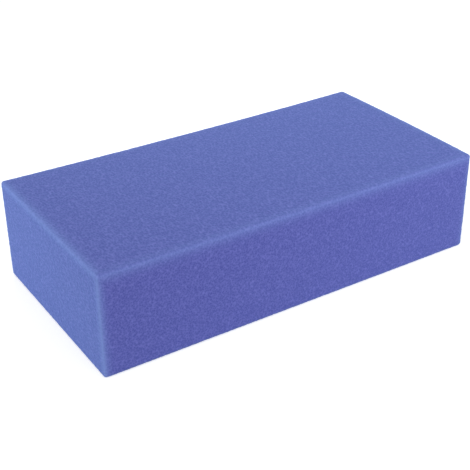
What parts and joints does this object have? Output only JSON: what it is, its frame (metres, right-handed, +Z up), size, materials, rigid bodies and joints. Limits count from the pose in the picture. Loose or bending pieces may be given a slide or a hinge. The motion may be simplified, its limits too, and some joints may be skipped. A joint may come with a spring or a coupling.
{
  "type": "grooming sponge",
  "caption": "Rectangular block of soft blue open-cell foam, held in the hand to wash, wipe and groom an animal's coat.",
  "frame": {"origin": "middle of the base, on the surface that the sponge lies on", "axes": "+X along the length, +Y across the width and away from the viewer of the picture, +Z up through the thickness"},
  "size_m": [0.2, 0.1, 0.05],
  "materials": {
    "foam": "matt open-cell polyurethane foam, dyed blue through, with a fine grain of cut cells"
  },
  "bodies": {
    "root": {"foam_block": "foam"}
  },
  "joints": []
}
